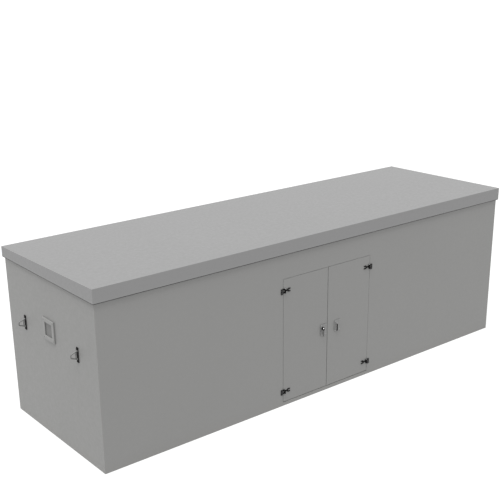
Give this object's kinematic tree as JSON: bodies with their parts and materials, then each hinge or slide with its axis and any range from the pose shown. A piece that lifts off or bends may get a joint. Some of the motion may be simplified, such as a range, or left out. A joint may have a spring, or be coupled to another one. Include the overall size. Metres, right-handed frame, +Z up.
{
  "type": "walk-in standby generator",
  "caption": "Walk-in weatherproof standby generator set: long plain steel enclosure, shallow mono-pitch roof, centred double doors on strap hinges, end-wall cable port and tie-down loops.",
  "frame": {"origin": "centre of the footprint, on the ground", "axes": "+X along the door wall to the right as seen from outside the doors, +Y from the door wall to the rear wall, +Z up"},
  "size_m": [8.3805, 2.706, 2.708],
  "materials": {
    "wall_paint": "satin",
    "roof_paint": "satin",
    "black_hardware": "satin",
    "satin_steel": "satin",
    "chrome_parts": "gloss",
    "galvanised": "matte",
    "liner_paint": "satin",
    "insulation": "matte",
    "seal_rubber": "matte",
    "engine_paint": "satin",
    "set_frame_paint": "satin",
    "hot_steel": "matte",
    "radiator_core_metal": "matte",
    "hose_rubber": "matte",
    "fan_plastic": "matte",
    "battery_case": "matte",
    "tank_plastic": "matte",
    "cabinet_paint": "satin",
    "stop_red": "gloss"
  },
  "bodies": {
    "enclosure": {"front_wall": "wall_paint", "rear_wall": "wall_paint", "left_end_wall": "wall_paint", "right_end_wall": "wall_paint", "door_threshold": "wall_paint", "cable_port_frame": "wall_paint", "gland_plate": "wall_paint", "intake_louvres": "wall_paint", "discharge_louvre": "wall_paint", "roof_cover": "roof_paint", "hinge_frame_plates": "black_hardware", "loop_bracket_plates": "black_hardware", "loop_bracket_bars": "satin_steel", "hinge_pins": "chrome_parts", "end_wall_bolts": "chrome_parts", "base_frame": "galvanised", "floor_plate": "galvanised", "corner_posts": "galvanised", "roof_purlins": "galvanised", "door_frame": "galvanised", "wall_liners": "liner_paint", "ceiling_panel": "liner_paint", "wall_insulation": "insulation", "door_seal": "seal_rubber", "fan_belt": "seal_rubber", "engine_block": "engine_paint", "cylinder_heads": "engine_paint", "alternator_housing": "engine_paint", "genset_rails": "set_frame_paint", "fan_shroud": "set_frame_paint", "air_cleaner": "set_frame_paint", "exhaust_manifold": "hot_steel", "silencer": "hot_steel", "exhaust_pipe": "hot_steel", "radiator": "radiator_core_metal", "coolant_hoses": "hose_rubber", "vibration_isolators": "hose_rubber", "starter_batteries": "battery_case", "day_tank": "tank_plastic", "control_cabinet": "cabinet_paint"},
    "left_door": {"left_leaf": "wall_paint", "left_leaf_core": "insulation", "left_hinge_straps": "black_hardware", "lock_plate": "satin_steel", "latch_rod_guides": "satin_steel"},
    "right_door": {"right_leaf": "wall_paint", "right_leaf_core": "insulation", "right_hinge_straps": "black_hardware", "pull_plate": "satin_steel", "pull_bar": "black_hardware"},
    "lever": {"lock_lever": "black_hardware"},
    "key": {"key_cylinder": "chrome_parts"},
    "upper_rod": {"upper_latch_rod": "satin_steel"},
    "lower_rod": {"lower_latch_rod": "satin_steel"},
    "upper_bolt": {"upper_flush_bolt": "satin_steel"},
    "lower_bolt": {"lower_flush_bolt": "satin_steel"},
    "rotating_set": {"crankshaft": "set_frame_paint"},
    "fan": {"cooling_fan": "fan_plastic"},
    "panel_door": {"control_door": "cabinet_paint"},
    "stop_button": {"estop_button": "stop_red"}
  },
  "joints": [
    {"name": "left_door_swing", "type": "hinge", "parent": "enclosure", "child": "left_door", "pos_m": [-0.895, -1.311, 1.106], "axis": [0, 0, -1], "range_deg": [0, 165]},
    {"name": "right_door_swing", "type": "hinge", "parent": "enclosure", "child": "right_door", "pos_m": [0.895, -1.311, 1.106], "axis": [0, 0, 1], "range_deg": [0, 165]},
    {"name": "lock_lever_turn", "type": "hinge", "parent": "left_door", "child": "lever", "pos_m": [-0.109, -1.305, 1.102], "axis": [0, 1, 0], "range_deg": [0, 90]},
    {"name": "key_turn", "type": "hinge", "parent": "left_door", "child": "key", "pos_m": [-0.078, -1.305, 1.01], "axis": [0, 1, 0], "range_deg": [0, 90]},
    {"name": "upper_rod_slide", "type": "slide", "parent": "left_door", "child": "upper_rod", "axis": [0, 0, 1], "range_m": [0, 0.02]},
    {"name": "lower_rod_slide", "type": "slide", "parent": "left_door", "child": "lower_rod", "axis": [0, 0, -1], "range_m": [0, 0.02]},
    {"name": "upper_bolt_slide", "type": "slide", "parent": "right_door", "child": "upper_bolt", "axis": [0, 0, 1], "range_m": [0, 0.015]},
    {"name": "lower_bolt_slide", "type": "slide", "parent": "right_door", "child": "lower_bolt", "axis": [0, 0, -1], "range_m": [0, 0.015]},
    {"name": "engine_spin", "type": "hinge", "parent": "enclosure", "child": "rotating_set", "pos_m": [0.5, 0, 0.7], "axis": [1, 0, 0], "continuous": true},
    {"name": "fan_spin", "type": "hinge", "parent": "enclosure", "child": "fan", "pos_m": [2.9, 0, 1.06], "axis": [1, 0, 0], "continuous": true},
    {"name": "panel_door_swing", "type": "hinge", "parent": "enclosure", "child": "panel_door", "pos_m": [-0.707, -0.652, 1.3], "axis": [0, 0, -1], "range_deg": [0, 100]},
    {"name": "stop_press", "type": "slide", "parent": "panel_door", "child": "stop_button", "axis": [0, 1, 0], "range_m": [0, 0.006], "stiffness_N_per_m": 400}
  ],
  "couplings": [
    {"joint": "upper_rod_slide", "follows": "lock_lever_turn", "m_per_rad": 0.012731},
    {"joint": "lower_rod_slide", "follows": "lock_lever_turn", "m_per_rad": 0.012731},
    {"joint": "fan_spin", "follows": "engine_spin", "ratio": 1.2}
  ]
}
